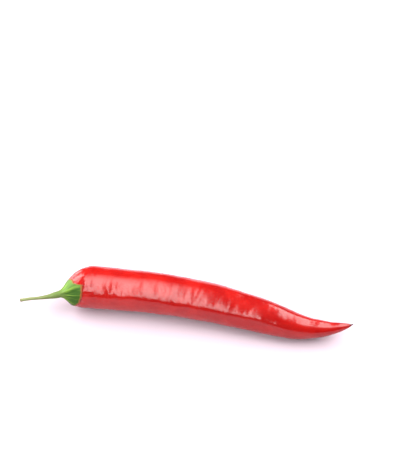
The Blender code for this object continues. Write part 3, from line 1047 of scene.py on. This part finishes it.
def floor_material(settings):
    """Pale paper sweep: a matte sheet, near white under the lights, with a faint tooth."""
    material, tree, shader = new_material("pale paper sweep", Roughness=0.9, Specular_IOR_Level=0.2)
    place = add(tree, "ShaderNodeTexCoord").outputs["Object"]
    grain = {"Vector": place, "Scale": 1.0 / PAPER_TOOTH_SIZE, "Detail": 3.0}
    tooth = add(tree, "ShaderNodeTexNoise", grain)
    darker = [part * PAPER_SHADE for part in settings.paper]
    paper = {"Factor": tooth, "A": (*settings.paper, 1.0), "B": (*darker, 1.0)}
    colour = add(tree, "ShaderNodeMix", paper, data_type="RGBA")
    tree.links.new(pick(colour.outputs, 0), shader.inputs["Base Color"])
    return material


# ---------------------------------------------------------------- settings


def size_property(name, description, millimetres):
    """A length that a user can change, with its default in millimetres."""
    return FloatProperty(
        name=name,
        description=description,
        default=millimetres * MM,
        min=0.0,
        precision=5,
        subtype="DISTANCE",
        unit="LENGTH",
    )


def angle_property(name, description, degrees):
    """An angle that a user can change, with its default in degrees."""
    return FloatProperty(
        name=name, description=description, default=math.radians(degrees), subtype="ANGLE"
    )


def colour_property(name, description, code):
    """A colour that a user can change, with its default as sRGB hex."""
    return FloatVectorProperty(
        name=name,
        description=description,
        default=linear(code),
        size=3,
        min=0.0,
        max=1.0,
        subtype="COLOR",
    )


class ChilliPodSettings(bpy.types.PropertyGroup):
    """What the pod's skin looks like."""

    stations: IntProperty(name="Stations", description="Sections along the pod", default=460, min=60)
    sides: IntProperty(name="Sides", description="Faces round the pod", default=150, min=24)
    seed: FloatProperty(
        name="Seed", description="Picks another pattern of ripples and dents", default=6.0
    )
    ripple_spacing: size_property("Ripple Spacing", "From one cross ripple to the next", 4.2)
    ripple_breadth: size_property("Ripple Breadth", "How far a ripple runs round the pod", 11.0)
    ripple_depth: size_property("Ripple Depth", "From a ripple's trough to its crest", 0.34)
    crinkle_spacing: size_property("Crinkle Spacing", "From one fine crinkle to the next", 1.7)
    crinkle_breadth: size_property("Crinkle Breadth", "How far a crinkle runs round the pod", 4.5)
    crinkle_depth: size_property("Crinkle Depth", "From a crinkle's trough to its crest", 0.09)
    dent_size: size_property("Dent Size", "Width of the broad dents", 13.0)
    dent_depth: size_property("Dent Depth", "Depth of the broad dents", 0.8)
    hollow_depth: size_property("Hollow Depth", "Depth of the hollow before the hooked end", 0.7)
    fold_scale: FloatProperty(
        name="Fold Scale", description="Strength of the shoulder's folds", default=1.0
    )
    flesh: colour_property("Flesh", "The pod's ripe red", "A61510")
    deep: colour_property("Deep Red", "The darker patches and the tip", "960B09")
    bright: colour_property("Bright Red", "The lighter cells", "B02415")
    dry_tip: colour_property("Dry Tip", "The withered end", "40100C")


class ChilliCalyxSettings(bpy.types.PropertyGroup):
    """What the calyx looks like."""

    sides: IntProperty(name="Sides", description="Faces round the calyx", default=240, min=24)
    rings: IntProperty(name="Rings", description="Faces from the neck to the rim", default=44, min=8)
    lip_rings: IntProperty(name="Lip Rings", description="Faces round the lip", default=8, min=2)
    inner_rings: IntProperty(name="Inner Rings", description="Faces up the inside", default=10, min=2)
    ribs: IntProperty(name="Ribs", description="Main ribs round the calyx", default=5, min=3)
    seed: FloatProperty(name="Seed", description="Picks another pattern of veins", default=5.0)
    rib_turn: angle_property("Rib Turn", "Angle round the pod of the first rib", 58.0)
    rib_height: size_property("Rib Height", "How far the ribs stand out", 0.28)
    vein_height: size_property("Vein Height", "How far the veins stand out", 0.22)
    raggedness: size_property("Raggedness", "How uneven the edge is", 0.3)
    rim_height: size_property("Rim Height", "How far the edge stands over the pod's skin", 0.48)
    lip_bulge: size_property("Lip Bulge", "How far the lip rounds out over the pod", 0.3)
    sinking: size_property("Sinking", "Depth of the calyx's inside in the pod's skin", 0.4)
    leaf: colour_property("Leaf", "The green between the ribs", "2A5002")
    vein: colour_property("Vein", "The lighter green of the ribs", "6C8C2C")
    # Painted light: the paler green that the calyx's upper side is painted towards, as if lit from above
    pale: colour_property("Pale Top", "The lighter green of the upper side", "83AA48")
    neck: colour_property("Neck", "The pale green where the stem begins", "62763A")
    dry_edge: colour_property("Dry Edge", "The brown line of the edge", "8E5028")


class ChilliStemSettings(bpy.types.PropertyGroup):
    """What the stem looks like."""

    sides: IntProperty(name="Sides", description="Faces round the stem", default=72, min=12)
    stations: IntProperty(name="Stations", description="Sections along the stem", default=160, min=20)
    ridges: IntProperty(name="Ridges", description="Lengthwise ridges round the stem", default=5, min=3)
    seed: FloatProperty(name="Seed", description="Picks another pattern of fibres", default=2.0)
    seat: FloatProperty(
        name="Seat", description="Share of its length that runs into the neck", default=0.035
    )
    ridge_height: size_property("Ridge Height", "How far the ridges stand out", 0.05)
    fibre_spacing: size_property("Fibre Spacing", "From one fibre to the next", 0.35)
    fibre_depth: size_property("Fibre Depth", "Depth between the fibres", 0.08)
    cut_flare: FloatProperty(
        name="Cut Flare", description="Share by which the cut end is wider", default=0.1
    )
    cut_flare_length: size_property("Cut Flare Length", "Length of the wider end", 1.2)
    bark: colour_property("Bark", "The stem's olive green", "6A753E")
    streak: colour_property("Streak", "The paler fibres", "888E64")
    foot: colour_property("Foot", "The green near the calyx", "5D7535")
    cut: colour_property("Cut", "The dry cut end", "77734D")


class ChilliStudioSettings(bpy.types.PropertyGroup):
    """The camera, the lights and the floor."""

    azimuth: angle_property("Azimuth", "Camera's turn round the chilli", 10.0)
    elevation: angle_property("Elevation", "Camera's angle over the floor", 48.0)
    distance: size_property("Distance", "From the chilli's middle to the camera", 475.4)
    shift_right: size_property("Shift Right", "How far right of the chilli the camera aims", 5.4)
    shift_up: size_property("Shift Up", "How far above the chilli the camera aims", 32.9)
    focal_length: FloatProperty(
        name="Focal Length", description="In millimetres", default=85.0, subtype="DISTANCE_CAMERA"
    )
    brightness: FloatProperty(
        name="Brightness",
        description="Of the softboxes' faces, in watts a square metre a steradian",
        default=7.8,
        min=0.0,
    )
    fill: colour_property("Fill", "Dim light from the room", "34343C")
    paper: colour_property("Paper", "The floor", "C1B3BC")


# ---------------------------------------------------------------- operators


class CHILLI_OT_grow_pod(bpy.types.Operator):
    """Grow the pod's glossy skin along its bent spine"""

    bl_idname = "chilli.grow_pod"
    bl_label = "Grow Pod"

    def execute(self, context):
        settings = context.scene.chilli_pod
        line = section_line("pod line", pod_sections(packed_spine(), settings.stations))
        values = {
            "Sides": settings.sides,
            "Seed": settings.seed,
            "Ripple Spacing": settings.ripple_spacing,
            "Ripple Breadth": settings.ripple_breadth,
            "Ripple Depth": settings.ripple_depth,
            "Crinkle Spacing": settings.crinkle_spacing,
            "Crinkle Breadth": settings.crinkle_breadth,
            "Crinkle Depth": settings.crinkle_depth,
            "Dent Size": settings.dent_size,
            "Dent Depth": settings.dent_depth,
            "Hollow Depth": settings.hollow_depth,
            "Fold Scale": settings.fold_scale,
            "Rest Height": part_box("pod")[0].z,
            "Material": skin_material(settings),
        }
        hand_over(grow("chilli_pod", line, pod_tree(), values), "pod")
        return {"FINISHED"}


class CHILLI_OT_grow_calyx(bpy.types.Operator):
    """Grow the green calyx over the pod's shoulder"""

    bl_idname = "chilli.grow_calyx"
    bl_label = "Grow Calyx"

    def execute(self, context):
        settings = context.scene.chilli_calyx
        values = {
            "Ribs": settings.ribs,
            "Rib Turn": settings.rib_turn,
            "Rib Height": settings.rib_height,
            "Vein Height": settings.vein_height,
            "Seed": settings.seed,
            "Material": calyx_material(settings),
        }
        cap = calyx_cap(packed_spine(), settings)
        hand_over(grow("chilli_calyx", cap, calyx_tree(), values), "calyx")
        return {"FINISHED"}


class CHILLI_OT_grow_stem(bpy.types.Operator):
    """Grow the stem from the calyx's neck to its cut end"""

    bl_idname = "chilli.grow_stem"
    bl_label = "Grow Stem"

    def execute(self, context):
        settings = context.scene.chilli_stem
        values = {
            "Sides": settings.sides,
            "Ridges": settings.ridges,
            "Ridge Height": settings.ridge_height,
            "Fibre Spacing": settings.fibre_spacing,
            "Fibre Depth": settings.fibre_depth,
            "Seed": settings.seed,
            "Material": stem_material(settings),
        }
        line = section_line("stem line", stem_sections(packed_spine(), settings))
        hand_over(grow("chilli_stem", line, stem_tree(), values), "stem")
        return {"FINISHED"}


# Softboxes: name, middle, tilt and turn in degrees from facing straight down, width and length, and
# the share of each that fades at its two edges. Lengths are in metres.
SOFTBOXES = (
    ("overhead strip", (-0.21, -1.52, 1.0), (0.0, 0.0), (0.50, 4.95), (0.36, 0.23)),
    ("tip softbox", (0.90, 0.75, 1.0), (0.0, 0.0), (1.20, 2.5), (0.10, 0.20)),
    ("front softbox", (-0.86, -0.72, 0.65), (60.0, -50.0), (0.8, 0.8), (0.20, 0.20)),
    ("shoulder softbox", (-1.00, 0.42, 0.55), (63.0, -113.0), (1.1, 1.2), (0.12, 0.12)),
)
FLOOR_HALF_WIDTH = 6.0
FLOOR_GAP = 0.02 * MM


def softbox(name, place, turned, size, fade, brightness):
    """A rectangular light with soft edges, which looks as bright whatever its size."""
    lamp = bpy.data.lights.new(name, "AREA")
    lamp.shape = "RECTANGLE"
    lamp.size, lamp.size_y = size
    lamp.energy = brightness * math.pi * size[0] * size[1]
    lamp.use_nodes = True
    tree = lamp.node_tree
    face = add(tree, "ShaderNodeTexCoord").outputs["UV"]
    spot = add(tree, "ShaderNodeSeparateXYZ", {"Vector": face})
    glow = 1.0
    for side, share in zip(("X", "Y"), fade):
        from_middle = add(tree, "ShaderNodeMath", {0: spot.outputs[side], 1: 0.5}, operation="SUBTRACT")
        from_edge = add(tree, "ShaderNodeMath", {0: from_middle}, operation="ABSOLUTE")
        ends = {"Value": from_edge, "From Min": 0.5 - share, "From Max": 0.5}
        ends.update({"To Min": 1.0, "To Max": 0.0})
        fading = add(tree, "ShaderNodeMapRange", ends, interpolation_type="SMOOTHSTEP")
        glow = add(tree, "ShaderNodeMath", {0: fading, 1: glow}, operation="MULTIPLY")
    tree.links.new(glow.outputs[0], tree.nodes["Emission"].inputs["Strength"])
    item = bpy.data.objects.new(name, lamp)
    item.location = place
    tilt, turn = turned
    item.rotation_euler = (math.radians(tilt), 0.0, math.radians(turn))
    bpy.context.scene.collection.objects.link(item)


class CHILLI_OT_set_studio(bpy.types.Operator):
    """Set the floor, the lights and the camera round the chilli"""

    bl_idname = "chilli.set_studio"
    bl_label = "Set Studio"

    def execute(self, context):
        scene = context.scene
        settings = scene.chilli_studio
        middle = (PACKED_LOW + PACKED_HIGH) / 2

        floor = bpy.data.meshes.new("paper floor")
        work = bmesh.new()
        bmesh.ops.create_grid(work, x_segments=8, y_segments=8, size=FLOOR_HALF_WIDTH)
        work.to_mesh(floor)
        work.free()
        floor.materials.append(floor_material(settings))
        sheet = bpy.data.objects.new("paper_floor", floor)
        sheet.location = (0.0, 0.0, PACKED_LOW.z - FLOOR_GAP)
        scene.collection.objects.link(sheet)

        for name, place, turned, size, fade in SOFTBOXES:
            softbox(name, place, turned, size, fade, settings.brightness)

        room = bpy.data.worlds.new("dim studio")
        room.use_nodes = True
        room.node_tree.nodes["Background"].inputs["Color"].default_value = (*settings.fill, 1.0)
        scene.world = room
        scene.view_settings.view_transform = "Standard"

        turn, lift = settings.azimuth, settings.elevation
        level = math.cos(lift)
        back = Vector((math.sin(turn) * level, -math.cos(turn) * level, math.sin(lift)))
        right = Vector((math.cos(turn), math.sin(turn), 0.0))
        aim = middle + right * settings.shift_right + back.cross(right) * settings.shift_up
        lens = bpy.data.cameras.new("studio camera")
        lens.lens = settings.focal_length
        lens.clip_start = 0.01
        camera = bpy.data.objects.new("studio_camera", lens)
        camera.location = aim + back * settings.distance
        camera.rotation_euler = (-back).to_track_quat("-Z", "Y").to_euler()
        scene.collection.objects.link(camera)
        scene.camera = camera
        return {"FINISHED"}


class CHILLI_PT_panel(bpy.types.Panel):
    """The chilli's settings and the buttons that make its pieces"""

    bl_idname = "CHILLI_PT_panel"
    bl_label = "Chilli Pepper"
    bl_space_type = "VIEW_3D"
    bl_region_type = "UI"
    bl_category = "Chilli"

    def draw(self, context):
        for group, operator in STEPS:
            box = self.layout.box()
            settings = getattr(context.scene, group)
            for name in settings.bl_rna.properties.keys():
                if name not in ("rna_type", "name"):
                    box.prop(settings, name)
            box.operator(operator.bl_idname)


SETTINGS = {
    "chilli_pod": ChilliPodSettings,
    "chilli_calyx": ChilliCalyxSettings,
    "chilli_stem": ChilliStemSettings,
    "chilli_studio": ChilliStudioSettings,
}
STEPS = (
    ("chilli_pod", CHILLI_OT_grow_pod),
    ("chilli_calyx", CHILLI_OT_grow_calyx),
    ("chilli_stem", CHILLI_OT_grow_stem),
    ("chilli_studio", CHILLI_OT_set_studio),
)
CLASSES = (*SETTINGS.values(), *(operator for _, operator in STEPS), CHILLI_PT_panel)


def register():
    """Tell Blender about the settings, the operators and the panel."""
    for item in CLASSES:
        bpy.utils.register_class(item)
    for name, group in SETTINGS.items():
        setattr(bpy.types.Scene, name, PointerProperty(type=group))


def unregister():
    """Take them all away again."""
    for name in SETTINGS:
        delattr(bpy.types.Scene, name)
    for item in reversed(CLASSES):
        bpy.utils.unregister_class(item)


def main():
    """Grow the chilli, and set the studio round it."""
    register()
    bpy.ops.chilli.grow_pod()
    bpy.ops.chilli.grow_calyx()
    bpy.ops.chilli.grow_stem()
    bpy.ops.chilli.set_studio()


if __name__ == "__main__":
    main()
